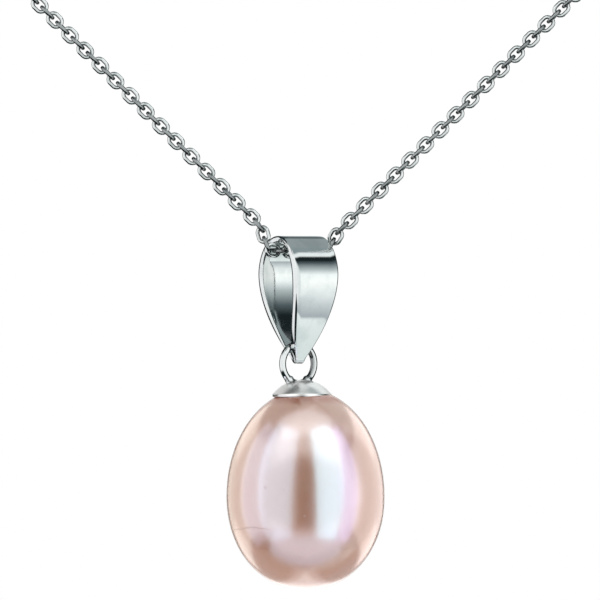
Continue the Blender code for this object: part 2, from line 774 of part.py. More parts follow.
def add_fittings(kit, centre):
    """Jump rings and the tab that the clasp hooks into."""
    middle = Vector(centre)
    jump = wire_curve(
        "clasp_jump_ring",
        circle_points((JUMP_WIDTH - JUMP_WIRE) / 2, 20),
        JUMP_WIRE / 2,
        closed=True,
    )
    place = Matrix.Translation(middle + Vector((jump_x(), 0, 0)))
    add("clasp_jump_ring", jump, place, kit["parts"], SILVER)

    holes = [
        [(x, y) for x, y, _ in circle_points(TAB_HOLE / 2, 20)],
        [(x + TAB_LENGTH, y) for x, y, _ in circle_points(TAB_EYE / 2, 16)],
    ]
    plate = mesh_of("catch_tab", flat_curve("catch_tab", [tab_outline(), *holes], TAB_THICKNESS))
    smooth(plate)
    place = Matrix.Translation(middle + Vector((tab_x(), 0, 0)))
    add("catch_tab", plate, place, kit["parts"], SILVER)

    ring = wire_curve(
        "tab_jump_ring",
        circle_points((TAB_JUMP_WIDTH - TAB_JUMP_WIRE) / 2, 18),
        TAB_JUMP_WIRE / 2,
        closed=True,
    )
    place = place_at(middle + Vector((tab_jump_x(), 0, 0)), (1, 0, 0), (0, 1, 0))
    add("tab_jump_ring", ring, place, kit["parts"], SILVER)


def build():
    clear_scene()
    kit = {
        "parts": new_collection("pearl_necklace"),
        "cutters": new_collection("cutters"),
        "link": wire_curve("link", link_points(), LINK_WIRE / 2, closed=True),
    }
    depth = neck_depth()
    to_world = np.array([0, -depth / 2, V_DROP - SIDE_RISE])
    left = strand(-1, depth) + to_world
    right = strand(1, depth) + to_world

    add_chain_side(-1, "left", left, chain_end_left(), kit)
    add_chain_side(1, "right", right, chain_end_right(), kit)

    # The centre link swings between its neighbours, the bail turns on it, and the drop swings in the bail.
    axis = bail_axis()
    tunnel = to_world + np.array([BAIL_SHIFT, 0, tunnel_height()])
    swing_place = place_at(tunnel, axis)
    swing = add_pivot("swing_pivot", swing_place, kit["parts"])
    half = axis * LINK_PITCH / 2
    link_place = swing_place.inverted() @ place_at(tunnel, half, (0, 0, 1))
    add("centre_link", kit["link"], link_place, kit["parts"], SILVER, parent=swing)

    bail_top = Matrix.Translation(Vector(to_world + np.array([BAIL_SHIFT, 0, 0])))
    bail_place = bail_top @ Matrix.Rotation(BAIL_TURN, 4, "Z")
    bail = add_bail(kit, swing, swing_place.inverted() @ bail_place)

    drop_at = to_world + np.array([BAIL_SHIFT, 0, ring_height() + (RING_WIDTH - RING_WIRE) / 2])
    drop_place = place_at(drop_at, axis)
    drop = add_pivot("drop_pivot", bail_place.inverted() @ drop_place, kit["parts"], parent=bail)
    add_drop(kit, drop, Matrix.Translation(Vector(-to_world)) @ drop_place)

    nape = to_world + np.array([0, depth, NAPE_RISE - V_DROP])
    add_clasp(kit, nape)
    add_fittings(kit, nape)


build()
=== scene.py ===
import json
import math

import bpy
import numpy as np
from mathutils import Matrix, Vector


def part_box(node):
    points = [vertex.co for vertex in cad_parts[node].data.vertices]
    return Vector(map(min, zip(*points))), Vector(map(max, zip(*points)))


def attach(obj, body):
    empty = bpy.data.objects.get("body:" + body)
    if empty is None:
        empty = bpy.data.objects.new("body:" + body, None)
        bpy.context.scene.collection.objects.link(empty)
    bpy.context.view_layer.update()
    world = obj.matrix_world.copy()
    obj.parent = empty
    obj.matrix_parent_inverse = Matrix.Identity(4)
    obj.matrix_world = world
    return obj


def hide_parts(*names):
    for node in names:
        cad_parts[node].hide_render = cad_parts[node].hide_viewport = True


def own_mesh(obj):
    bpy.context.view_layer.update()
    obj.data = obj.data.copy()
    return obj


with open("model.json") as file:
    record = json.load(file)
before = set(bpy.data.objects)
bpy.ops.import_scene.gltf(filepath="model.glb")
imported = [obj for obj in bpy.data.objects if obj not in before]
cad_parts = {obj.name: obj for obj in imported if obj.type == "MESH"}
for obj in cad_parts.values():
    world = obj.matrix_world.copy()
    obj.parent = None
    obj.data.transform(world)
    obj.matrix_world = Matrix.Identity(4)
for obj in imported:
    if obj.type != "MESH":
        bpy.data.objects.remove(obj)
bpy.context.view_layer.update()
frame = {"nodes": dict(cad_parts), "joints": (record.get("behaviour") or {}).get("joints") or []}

mm = 0.001
joints = {joint["name"]: joint for joint in frame["joints"]}
swingAt = np.array(joints["pendant_swing"]["pos_m"])  # middle of the bail's tunnel
dropAt = np.array(joints["drop_swing"]["pos_m"])  # where the ring hangs in the bail
hubAt = np.array(joints["clasp_roll"]["pos_m"])  # middle of the spring ring
tunnel = np.array(joints["pendant_swing"]["axis"], float)
tunnel /= np.linalg.norm(tunnel)  # along the bail's tunnel, to the right and backwards
front = np.array([tunnel[1], -tunnel[0], 0.0])  # the way the bail's broad face looks
up = np.array([0.0, 0.0, 1.0])
right = np.array([1.0, 0.0, 0.0])
back = np.array([0.0, 1.0, 0.0])
bailTop = np.array([swingAt[0], swingAt[1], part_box("bail")[1].z])
print("frame loaded:", len(frame["nodes"]), "nodes")


def unit(vectors):
    return vectors / np.linalg.norm(vectors, axis=-1, keepdims=True)


def bezier(p0, p1, p2, p3, count):
    # cubic Bezier curve: the four points weighted by the Bernstein polynomials
    t = np.linspace(0, 1, count)[:, None]
    weights = np.hstack([(1 - t) ** 3, 3 * t * (1 - t) ** 2, 3 * t * t * (1 - t), t**3])
    return weights @ np.array([p0, p1, p2, p3], float)


def roundSection(radius, sides, power=2.0):
    # a superellipse as (x, y): |x/r|^power + |y/r|^power = 1. 2 is a circle, and more is squarer
    turn = np.arange(sides) * 2 * np.pi / sides
    flat = np.stack([np.cos(turn), np.sin(turn)], -1)
    return radius * np.sign(flat) * np.abs(flat) ** (2 / power)


def sweep(path, across, rise, section):
    # a section carried along a path: point + x * across + y * rise, for every point and corner
    section = np.broadcast_to(section, (len(path),) + section.shape[-2:])
    return path[:, None] + section[..., :1] * across[:, None] + section[..., 1:] * rise[:, None]


def turned(profile, centre, steps):
    # a profile of (radius, height) turned about the upright axis through centre
    turn = np.arange(steps) * 2 * np.pi / steps
    ring = np.stack([np.cos(turn), np.sin(turn)], -1)
    flat = profile[:, :1, None] * ring[None]
    high = np.broadcast_to(profile[:, 1:, None], flat[..., :1].shape)
    return np.concatenate([flat, high], -1) + centre


def shell(grid, closed=False):
    # points and faces of one closed surface: each row of the grid is a loop joined to the next row.
    # Open ends are shut by a fan to the middle of the end row, and the whole is turned to face
    # outwards by the sign of its volume, the sum of its faces' corner products
    rows, columns = grid.shape[:2]
    points = grid.reshape(-1, 3)
    row = np.arange(rows if closed else rows - 1)[:, None] * columns
    column = np.arange(columns)[None]
    after, beside = (row + columns) % (rows * columns), (column + 1) % columns
    quads = np.stack([row + column, row + beside, after + beside, after + column], -1)
    quads = quads.reshape(-1, 4)
    fans = np.zeros((0, 3), int)
    if not closed:
        ring = np.arange(columns)
        following = (ring + 1) % columns
        last, tip = (rows - 1) * columns, np.full(columns, rows * columns)
        points = np.vstack([points, grid[0].mean(0), grid[-1].mean(0)])
        first = np.stack([tip, following, ring], -1)
        end = np.stack([tip + 1, last + ring, last + following], -1)
        fans = np.vstack([first, end])
    corners = points[quads]
    middle = points.mean(0)
    a, b, c, d = (corners[:, k] - middle for k in range(4))
    volume = np.einsum("ij,ij->", a, np.cross(b, c)) + np.einsum("ij,ij->", a, np.cross(c, d))
    fan = points[fans] - middle
    volume += np.einsum("ij,ij->", fan[:, 0], np.cross(fan[:, 1], fan[:, 2]))
    if volume < 0:
        quads, fans = quads[:, ::-1], fans[:, ::-1]
    return points, quads, fans


def meshFrom(name, shells, marks=None):
    # one mesh from several shells, as whole arrays. marks are numbers kept on each point, by name
    points, quads, fans, start = [], [], [], 0
    for some, four, three in shells:
        points.append(some)
        quads.append(four + start)
        fans.append(three + start)
        start += len(some)
    points, quads, fans = np.vstack(points), np.vstack(quads), np.vstack(fans)
    loops = np.concatenate([quads.ravel(), fans.ravel()])
    sizes = np.concatenate([np.full(len(quads), 4), np.full(len(fans), 3)])
    starts = np.cumsum(sizes) - sizes
    mesh = bpy.data.meshes.new(name)
    mesh.vertices.add(len(points))
    mesh.vertices.foreach_set("co", points.astype(np.float32).ravel())
    mesh.loops.add(len(loops))
    mesh.loops.foreach_set("vertex_index", loops.astype(np.int32))
    mesh.polygons.add(len(starts))
    mesh.polygons.foreach_set("loop_start", starts.astype(np.int32))
    for mark, values in (marks or {}).items():
        kept = np.zeros(len(points), np.float32)
        kept[: len(values)] = values
        mesh.attributes.new(mark, "FLOAT", "POINT").data.foreach_set("value", kept)
    mesh.update(calc_edges=True)
    mesh.validate()
    mesh.shade_smooth()
    return mesh


def putIn(name, data):
    made = bpy.data.objects.new(name, data)
    bpy.context.scene.collection.objects.link(made)
    return made


def addPiece(name, shells, finish, body, nodes, marks=None):
    piece = putIn(name, meshFrom(name, shells, marks))
    piece.data.materials.append(finish)
    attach(piece, body)
    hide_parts(*nodes)
    print(f"{name}: {len(piece.data.polygons)} faces on {body}")
    return piece


sawnEnd = 0.86  # width of a wire's sawn end, whose edge is filed, as a share of the wire


def ringShell(centre, sideways, upwards, radius, wire, around, sides, cut=0.0, swell=None):
    # a wire bent round a circle. cut leaves a saw cut that long, and swell thickens it by angle
    spread = 2 * np.pi - cut / radius
    turn = np.linspace(cut / radius / 2, cut / radius / 2 + spread, around, endpoint=cut > 0)
    rise = np.cos(turn)[:, None] * sideways + np.sin(turn)[:, None] * upwards
    across = np.broadcast_to(np.cross(sideways, upwards), rise.shape)
    thick = np.ones(around) if swell is None else swell(turn)
    section = roundSection(wire / 2, sides)[None] * thick[:, None, None]
    if cut > 0:
        ends = np.minimum(np.arange(around), np.arange(around)[::-1])
        section = section * np.where(ends == 0, sawnEnd, 1.0)[:, None, None]
    return shell(sweep(centre + radius * rise, across, rise, section), closed=cut == 0)


class Value:
    # a socket that can stand in a sum with numbers and other values
    def __init__(self, bench, socket):
        self.bench, self.socket = bench, socket

    def math(self, operation, first, second):
        return self.bench.node("ShaderNodeMath", {"operation": operation}, {0: first, 1: second})

    def __add__(self, other): return self.math("ADD", self, other)
    def __radd__(self, other): return self.math("ADD", other, self)
    def __sub__(self, other): return self.math("SUBTRACT", self, other)
    def __rsub__(self, other): return self.math("SUBTRACT", other, self)
    def __mul__(self, other): return self.math("MULTIPLY", self, other)
    def __rmul__(self, other): return self.math("MULTIPLY", other, self)
    def __truediv__(self, other): return self.math("DIVIDE", self, other)


class Bench:
    # adds nodes to one tree
    def __init__(self, tree):
        self.tree = tree

    def node(self, kind, settings=None, sockets=None, out=0):
        made = self.tree.nodes.new(kind)
        for name, setting in (settings or {}).items():
            if name == "stops":
                self.setStops(made.color_ramp, setting)
            else:
                setattr(made, name, setting)
        for name, value in (sockets or {}).items():
            if isinstance(value, Value):
                self.tree.links.new(value.socket, made.inputs[name])
            else:
                made.inputs[name].default_value = value
        return Value(self, made.outputs[out]) if made.outputs else made

    def setStops(self, ramp, stops):
        while len(ramp.elements) < len(stops):
            ramp.elements.new(0.5)
        for element, (place, colour) in zip(ramp.elements, stops):
            element.position = place
            element.color = (*colour, 1)

    def step(self, value, low, high):
        # rises smoothly from 0 to 1 as value goes from low to high
        sockets = {"Value": value, "From Min": low, "From Max": high}
        return self.node("ShaderNodeMapRange", {"interpolation_type": "SMOOTHSTEP"}, sockets)

    def within(self, value, low, high, soft):
        # 1 between low and high, and 0 outside, over a soft edge
        begun = self.step(value, low - soft, low + soft)
        return begun * (1 - self.step(value, high - soft, high + soft))

    def mix(self, share, first, second):
        # colours, where a plain one is given as three numbers
        first, second = (c if isinstance(c, Value) else (*c, 1) for c in (first, second))
        sockets = {0: share, 6: first, 7: second}
        return self.node("ShaderNodeMix", {"data_type": "RGBA"}, sockets, out=2)

    def noise(self, place, scale, detail=2.0, roughness=0.5):
        sockets = {"Vector": place, "Scale": scale, "Detail": detail, "Roughness": roughness}
        return self.node("ShaderNodeTexNoise", {}, sockets)

    def placed(self, stretch=(1, 1, 1)):
        # object coordinates, stretched
        place = self.node("ShaderNodeTexCoord", out=3)
        sockets = {"Vector": place, "Scale": stretch}
        return self.node("ShaderNodeMapping", {"vector_type": "TEXTURE"}, sockets)

    def parts(self, vector):
        return [self.node("ShaderNodeSeparateXYZ", {}, {"Vector": vector}, out=k) for k in range(3)]

    def near(self, place, spot, inside, outside):
        # 1 within one distance of a spot, falling to 0 at the other
        points = {0: place, 1: tuple(spot)}
        away = self.node("ShaderNodeVectorMath", {"operation": "DISTANCE"}, points, out=1)
        return 1 - self.step(away, inside, outside)

    def mark(self, name):
        # a number kept on each point of the mesh
        return self.node("ShaderNodeAttribute", {"attribute_name": name}, {}, out=2)

    def bump(self, height, strength, distance):
        sockets = {"Strength": strength, "Distance": distance, "Height": height}
        return self.node("ShaderNodeBump", {}, sockets)


def newFinish(name, build, **fixed):
    # a Principled material. fixed are its constant sockets, and build returns those that vary
    material = bpy.data.materials.new(name)
    material.use_nodes = True
    shader = material.node_tree.nodes["Principled BSDF"]
    for socket, value in fixed.items():
        shader.inputs[socket].default_value = value
    bench = Bench(material.node_tree)
    for socket, value in build(bench).items():
        material.node_tree.links.new(value.socket, shader.inputs[socket])
    return material


silver = {
    "tone": (0.86, 0.88, 0.875),
    "dull": (0.66, 0.70, 0.70),  # in the worn and handled patches
    "tarnish": (0.10, 0.115, 0.12),  # inside rings and links: tarnish where no polishing cloth reaches, with painted shade
    "gloss": 0.045,
    "wear": 0.10,  # how much rougher the worn patches are
    "scratch": 0.0021 * mm,  # depth of the hairlines
    "patch": (900.0, 0.42, 0.72),  # patches to the metre, and where they begin and are full
    "hairline": (5200.0, 0.60, 0.68),
    "grain": 14000.0,
    "ownWear": 0.45,  # how much more a link may be worn than the next
}


def insideOf(section):
    # 1 on the side of a wire's section that faces the middle of its ring, falling to 0 half way
    # round: the depth below the section's middle, raised a little and eased by a power
    reach, ease = 1.25, 1.3
    low = -section[:, 1] / np.abs(section[:, 1]).max()
    return np.clip(low * reach, 0, 1) ** ease


def silverFinish(name, stretch=(1, 1, 1), gloss=1.0, wear=1.0, linked=False, tarnish=0.0):
    # bright silver with worn patches, hairlines along the stretch, and tarnish with painted shade
    # on the inner sides
    look = silver
    patches, patchFrom, patchFull = look["patch"]
    hairlines, hairFrom, hairFull = look["hairline"]

    def build(bench):
        place = bench.placed()
        along = bench.placed(stretch)
        patch = bench.step(bench.noise(place, patches, 4.0), patchFrom, patchFull)
        fine = bench.noise(place, look["grain"], 3.0)
        hair = bench.noise(along, hairlines, 5.0, 0.72)
        worn = patch * 0.55 + bench.step(hair, hairFrom, hairFull) * 0.25
        if linked:
            worn = worn + bench.mark("tone") * look["ownWear"]
        colour = bench.mix(worn, look["tone"], look["dull"])
        # the dark inner mark is tarnish with painted shade: on the wires' inner sides, and on the
        # chain all over the links that lie on edge
        if tarnish:
            dark = bench.mark("inner") * (tarnish * 0.75 + patch * (tarnish * 0.25))
            colour = bench.mix(dark, colour, look["tarnish"])
            worn = worn + dark * 0.6
        rough = look["gloss"] * gloss + worn * (look["wear"] * wear) + fine * 0.012
        bump = bench.bump(hair * 0.7 + fine * 0.3, 0.35, look["scratch"] * wear)
        return {"Base Color": colour, "Roughness": rough, "Normal": bump}

    return newFinish(name, build, Metallic=1.0, IOR=1.45)


# the chain and the ring carry tarnish with painted shade on their inner sides
linkFinish = silverFinish("polished silver, chain", linked=True, gloss=1.6, tarnish=0.95)
bailFinish = silverFinish("polished silver, strap", stretch=(1, 1, 9))
ringFinish = silverFinish("polished silver, ring", gloss=1.5, wear=1.2, tarnish=0.95)
claspFinish = silverFinish("polished silver, clasp", gloss=1.5, wear=1.6)
pegFinish = silverFinish("drawn silver wire", stretch=(1, 1, 12), gloss=5.0, wear=2.5)


def springLook(bench):
    # drawn steel with a thin film of oil that has browned in places
    place = bench.placed()
    drawn = bench.noise(place, 9000.0, 4.0)
    oil = bench.step(bench.noise(place, 1500.0, 2.0), 0.4, 0.7)
    colour = bench.mix(oil, (0.50, 0.51, 0.52), (0.30, 0.27, 0.24))
    rough = 0.22 + oil * 0.18 + drawn * 0.08
    return {"Base Color": colour, "Roughness": rough, "Normal": bench.bump(drawn, 0.4, 0.002 * mm)}


springFinish = newFinish("drawn spring steel", springLook, Metallic=1.0)
print("metal finishes made")


chain = {
    "pitch": 0.65 * mm,
    "width": 0.92 * mm,
    "wire": 0.24 * mm,
    "play": 0.03 * mm,
    "squareness": 2.4,  # of the wire's section, rolled a little flat
    "slope": math.radians(45),  # of the V at the front
    "reach": 30 * mm,
    "drop": 1.93 * mm,  # the V would meet this far under the bail's top
    "neck": 122 * mm,
    "sideRise": 62 * mm,
    "flat": 9.5 * mm,
    "mouth": (0.35 * mm, 0.80 * mm, 0.60 * mm),  # level stretch, way out to the V, bend between
    "bends": (0.45, 0.42, 0.40, 0.42),  # widest place, climb there, and the two long bends
    "bailWidth": 3.34 * mm,
    "ends": {-1: 5.835 * mm, 1: 6.775 * mm},  # last hooking places from the clasp's middle
    "edgeTarnish": 0.85,  # painted shade over the links that lie on edge
    "fineLinks": 44,  # on each side, nearest the bail
    "fine": (20, 8),  # steps round such a link, and round its wire
    "plain": (10, 4),  # and in the rest
    "twist": math.radians(5),
}


def strand(side):
    # one side's course, straight stretches and Bezier curves joined end to end: level through the
    # bail, a curve up to the V, the V, round the neck, and the nape
    look = chain
    slope = np.array([side * math.cos(look["slope"]), 0, math.sin(look["slope"])])
    reachOut, riseOut, bend = look["mouth"]
    sideAt, climbing, sideBend, napeBend = look["bends"]
    depth = hubAt[1] - swingAt[1]
    point = np.array([0, swingAt[1], bailTop[2] - look["drop"]])  # where the V's sides would meet
    mouth = swingAt + side * tunnel * (look["bailWidth"] / 2 + reachOut)
    start = mouth + side * riseOut * right
    start[2] = point[2] + abs(start[0]) * math.tan(look["slope"])
    corner = point + look["reach"] * np.array([side, 0, math.tan(look["slope"])])
    widest = point + np.array([side * look["neck"] / 2, sideAt * depth, look["sideRise"]])
    napeSide = hubAt + side * look["flat"] * right
    run = unit(corner - start)
    climb = unit(np.array([0, 1, climbing]))
    near = sideBend * np.linalg.norm(widest - corner)
    far = napeBend * np.linalg.norm(napeSide - widest)
    out = bend * side * tunnel
    parts = [
        np.linspace(swingAt, mouth, 12),
        bezier(mouth, mouth + out, start - bend * run, start, 24),
        np.linspace(start, corner, 60),
        bezier(corner, corner + near * slope, widest - near * climb, widest, 120),
        bezier(widest, widest + far * climb, napeSide + far * side * right, napeSide, 160),
        np.linspace(napeSide, hubAt, 20),
    ]
    return np.vstack([parts[0]] + [part[1:] for part in parts[1:]])


def linkPlaces(side):
    # hooking places along one side at equal steps, so many that the last link has its right turn
    course = strand(side)
    steps = np.linalg.norm(np.diff(course, axis=0), axis=1)
    reached = np.concatenate([[0], np.cumsum(steps)])
    first, last = chain["pitch"] / 2, reached[-1] - chain["ends"][side]
    count = round((last - first) / chain["pitch"])
    lastOnEdge = side > 0
    if (count % 2 == 0) != lastOnEdge:
        count += 1
    steps = np.linspace(first, last, count + 1)
    return np.stack([np.interp(steps, reached, course[:, k]) for k in range(3)], -1)


def linkShape(around, sides):
    # one link about the origin: half circles joined by straight stretches, with a wire along them
    bend = (chain["width"] - chain["wire"]) / 2
    flat = (chain["pitch"] + chain["wire"] + chain["play"]) / 2 - bend
    turn = np.arange(around) * 2 * np.pi / around + np.pi / around
    outward = np.stack([np.cos(turn), np.sin(turn), np.zeros(around)], -1)
    path = bend * outward + np.sign(outward[:, :1]) * flat * right
    upright = np.broadcast_to(up, path.shape)
    section = roundSection(chain["wire"] / 2, sides, chain["squareness"])
    return sweep(path, upright, outward, section)


def linkShells(ends, turned, corners, seed):
    # every link at once: the shape's x along the link, y across its plane and z square to it.
    # Two marks go with them: a tone of its own for each link, and tarnish with painted shade, which
    # stays inside every link, while painted shade covers those on edge
    start, end = ends
    around, sides = corners
    along = unit(end - start)
    level = unit(np.cross(up, along))
    square = np.where(turned[:, None], np.cross(along, level), level)
    random = np.random.default_rng(seed)
    lean = random.uniform(-1, 1, len(start))[:, None] * chain["twist"]
    square = unit(square * np.cos(lean) + np.cross(along, square) * np.sin(lean))
    across = np.cross(square, along)
    shape = linkShape(around, sides)
    x, y, z = (shape[None, ..., k, None] for k in range(3))
    middle = (start + end) / 2
    wide = [part[:, None, None] for part in (along, across, square, middle)]
    grids = wide[3] + x * wide[0] + y * wide[1] + z * wide[2]
    section = roundSection(1.0, sides, chain["squareness"])
    tones = np.repeat(random.uniform(0, 1, len(start)), around * sides)
    inner = np.tile(insideOf(section), len(start) * around)
    # links on edge get painted shade all over
    inner = np.maximum(inner, np.repeat(turned * chain["edgeTarnish"], around * sides))
    return [shell(grid, closed=True) for grid in grids], np.stack([tones, inner])


def addLinks(name, sets, body, nodes):
    shells = [one for shells, marks in sets for one in shells]
    tones, inner = np.hstack([marks for shells, marks in sets])
    marks = {"tone": tones, "inner": inner}
    addPiece(name, shells, linkFinish, body, nodes, marks)


def addChain():
    fine, plain, nearNodes, farNodes = [], [], [], []
    cut = chain["fineLinks"]
    for side, word in ((-1, "left"), (1, "right")):
        places = linkPlaces(side)
        turned = np.arange(len(places) - 1) % 2 == 1
        near, far = (places[:cut], places[1 : cut + 1]), (places[cut:-1], places[cut + 1 :])
        fine.append(linkShells(near, turned[:cut], chain["fine"], 7 + side))
        plain.append(linkShells(far, turned[cut:], chain["plain"], 17 + side))
        nearNodes += [f"{word}_link_{n}" for n in range(1, 10)] + [f"{word}_chain_1"]
        farNodes += [f"{word}_chain_{n}" for n in range(2, 7)]
        farNodes += [f"{word}_end_link_{n}" for n in range(1, 4)]
    addLinks("chain_front", fine, "chain", nearNodes)
    addLinks("chain_round_neck", plain, "chain", farNodes)
    half = tunnel * chain["pitch"] / 2
    ends = ((swingAt - half)[None], (swingAt + half)[None])
    middle = linkShells(ends, np.array([True]), chain["fine"], 3)
    addLinks("bail_link", [middle], "centre_link", ["centre_link"])


addChain()


bail = {
    "height": 7.75 * mm,
    "depth": 3.82 * mm,
    "width": 3.34 * mm,
    "crown": 2.50 * mm,
    "wall": 0.42 * mm,
    "foot": 0.73 * mm,  # solid metal under the loop
    "waist": 0.555,  # shares of the height: where the flank leaves the vertical,
    "heel": (0.249, 0.787),  # and its lower handle, as shares of the depth and the height
    "lean": math.radians(35),  # of the flank near the foot
    "heelRound": 0.18 * mm,
    "nose": 0.28 * mm,  # radius of the inside bottom
    "taper": (0.245, 0.465, 0.781),  # shares of the height: end of full width, and two handles
    "belly": 0.72,  # width at the lower handle, as a share of the full width
    "tip": 0.72 * mm,
    "tipRise": 0.25 * mm,
    "edge": 0.13 * mm,  # rounding of the strap's edges
}


def bailOutline(inset, footRadius, footHeight):
    # right half of the drop outline as (across, height), from the top: a quarter ellipse, a Bezier
    # flank and a small arc
    look = bail
    halfDepth, crown = look["depth"] / 2 - inset, look["crown"] - inset
    waist = inset * math.tan(look["lean"] / 2) - look["waist"] * look["height"]
    heel = (
        look["heel"][0] * look["depth"] - inset * math.cos(look["lean"]),
        inset * math.sin(look["lean"]) - look["heel"][1] * look["height"],
    )
    turn = np.linspace(0, np.pi / 2, 26)
    top = np.stack([halfDepth * np.sin(turn), crown * np.cos(turn) - look["crown"]], -1)
    bottom = (footRadius, footHeight + footRadius)
    flank = bezier((halfDepth, -look["crown"]), (halfDepth, waist), heel, bottom, 46)
    turn = np.linspace(0, np.pi / 2, 8)
    rise = footHeight + footRadius * (1 - np.sin(turn))
    foot = np.stack([footRadius * np.cos(turn), rise], -1)
    return np.vstack([top, flank[1:], foot[1:]])


def strapHalfWidth(height):
    # half the strap's width at each height: full width above, a Bezier taper, and a rounded tip
    look = bail
    half, tip = look["width"] / 2, look["tip"] / 2
    tipHeight = look["tipRise"] - look["height"]
    top, upper, lower = (-share * look["height"] for share in look["taper"])
    flank = bezier((half, top), (half, upper), (look["belly"] * half, lower), (tip, tipHeight), 60)
    turn = np.linspace(0, np.pi / 2, 12)[1:]
    end = np.stack([tip * np.cos(turn), tipHeight - (look["tipRise"] + tip) * np.sin(turn)], -1)
    outline = np.vstack([[(half, 1 * mm)], flank, end])[::-1]
    return np.interp(height, outline[:, 1], outline[:, 0])


def addBail():
    # the loop's outer and inner outlines give each station's two faces, and the section between
    # them is a rounded rectangle: straight faces and quarter circles at its four edges
    look = bail
    outer = bailOutline(0, look["heelRound"], -look["height"])
    inner = bailOutline(look["wall"], look["nose"], look["foot"] - look["height"])
    outer = np.vstack([outer, (outer[1:-1] * (-1, 1))[::-1]])
    inner = np.vstack([inner, (inner[1:-1] * (-1, 1))[::-1]])
    wide, slim = strapHalfWidth(outer[:, 1]), strapHalfWidth(inner[:, 1])
    edge = look["edge"]
    thick = np.linalg.norm(outer - inner, axis=1)
    turn = np.linspace(0, np.pi / 2, 6)
    flatShares = np.linspace(-1, 1, 9)[1:-1]
    columns = []

    def column(across, share):
        # a point of every station: across the strap, and a share of the way to the outer face
        flat = inner + (outer - inner) * share[:, None]
        place = bailTop + across[:, None] * tunnel
        columns.append(place + flat[:, :1] * front + flat[:, 1:] * up)

    def corner(half, side, outside, turns):
        # one rounded edge: a quarter circle of points
        for a in turns:
            depth = edge * (1 - math.cos(a)) / thick
            column(side * (half - edge * (1 - math.sin(a))), 1 - depth if outside else depth)

    corner(wide, 1, True, turn)
    corner(slim, 1, False, turn[::-1])
    for share in flatShares[::-1]:
        column((slim - edge) * share, 0 * thick)
    corner(slim, -1, False, turn)
    corner(wide, -1, True, turn[::-1])
    for share in flatShares:
        column((wide - edge) * share, 1 + 0 * thick)
    made = shell(np.stack(columns, 1), closed=True)
    addPiece("strap_bail", [made], bailFinish, "bail", ["bail"])


addBail()


ring = {
    "width": 2.80 * mm,
    "wire": 0.42 * mm,
    "solder": 0.35,  # how much the solder thickens the wire, as a share,
    "solderAt": math.radians(34),  # at this angle on both sides of the lowest point
    "solderSpread": 0.13,
}
cap = {
    "width": 3.58 * mm,
    "height": 0.98 * mm,
    "rim": 0.12 * mm,
    "round": 2.5,  # power of the dome's fall
    "seat": 0.42 * mm,  # how far the ring sinks in
    "shift": 0.22 * mm,  # from the middle of the ring
    "tone": (0.86, 0.86, 0.85),
    "dull": (0.74, 0.75, 0.74),
    # painted shade from the ring: two soft dark spots on the cap, with their colour, places and
    # reach
    "smoke": (0.13, 0.13, 0.13),
    "smokeAt": (0.34 * mm, 0.62 * mm, 1.12 * mm),  # to each side, forwards and under the ring
    "smokeReach": (0.12 * mm, 0.48 * mm),
}
peg = {"wire": 0.80 * mm, "length": 5.20 * mm, "groove": 0.03 * mm, "thread": 0.30 * mm}
pearl = {
    "width": 9.60 * mm,
    "top": 6.45 * mm,
    "foot": 5.73 * mm,
    "fullness": 2.1,
    "shift": 0.22 * mm,
    "hole": 0.64 * mm,  # its radius
    "holeDepth": 5.60 * mm,
    "uneven": 0.0035,  # share of the radius that slow swellings add and take away
    # peach, rose and cream
    "tones": ((0.48, 0.225, 0.130), (0.50, 0.255, 0.178), (0.52, 0.30, 0.205)),
    "dent": (0.30, 0.13, 0.09),
    "collar": (0.36, 0.10, 0.05),  # painted shadow of the cap, a line under it,
    "collarAt": (5.45 * mm, 5.90 * mm),  # between these heights
    # small pits: to the right, upwards and radius, in millimetres
    "pits": (
        (-2.42, 0.55, 0.085), (-1.33, 0.42, 0.06), (-0.06, -1.15, 0.09), (-3.2, -2.2, 0.05),
    ),
    "crease": (-2.03 * mm, -1.97 * mm, 0.05 * mm),  # a growth line: heights and softness,
    "creaseAcross": (-4.5 * mm, -2.3 * mm, 0.4 * mm),  # and its ends
    "creaseWander": 0.5 * mm,
}
ringAt = dropAt - (ring["width"] - ring["wire"]) / 2 * up
capTop = ringAt + (cap["seat"] - ring["width"] / 2) * up + cap["shift"] * right
shoulder = pearl["top"] * math.sqrt(1 - (cap["width"] / pearl["width"]) ** 2)
pearlAt = capTop + pearl["shift"] * right - (cap["height"] + 0.03 * mm + shoulder) * up


def addRing():
    # solder thickens the wire on both sides of where it meets the cap, as a bell curve of the angle
    def swell(turn):
        low = np.abs((turn + np.pi / 2 + np.pi) % (2 * np.pi) - np.pi)  # from the lowest point
        away = (low - ring["solderAt"]) / ring["solderSpread"]
        return 1 + ring["solder"] * np.exp(-(away**2))

    around, sides = 120, 28
    radius = (ring["width"] - ring["wire"]) / 2
    made = ringShell(ringAt, tunnel, up, radius, ring["wire"], around, sides, swell=swell)
    # tarnish with painted shade on the inner side of the ring's wire
    marks = {"inner": np.tile(insideOf(roundSection(1.0, sides)), around)}
    addPiece("hanging_ring", [made], ringFinish, "drop", ["drop_ring"], marks)


def capFinish():
    # satin silver, with painted shade in two soft spots near where the ring was soldered on
    def build(bench):
        place = bench.placed()
        patch = bench.step(bench.noise(place, 1100.0, 4.0), 0.40, 0.72)
        grain = bench.noise(place, 16000.0, 3.0, 0.6)
        # painted shade of the ring, in two soft spots
        smoke = 0.0
        aside, ahead, under = cap["smokeAt"]
        for side in (-1, 1):
            spot = ringAt + side * aside * right - ahead * back - under * up
            smoke = smoke + bench.near(place, spot, *cap["smokeReach"]) * 0.85
        colour = bench.mix(patch * 0.4, cap["tone"], cap["dull"])
        colour = bench.mix(smoke, colour, cap["smoke"])
        rough = 0.27 + grain * 0.05 + patch * 0.05
        bump = bench.bump(grain, 0.3, 0.004 * mm)
        return {"Base Color": colour, "Roughness": rough, "Normal": bump}

    return newFinish("satin silver, cap", build, Metallic=1.0)


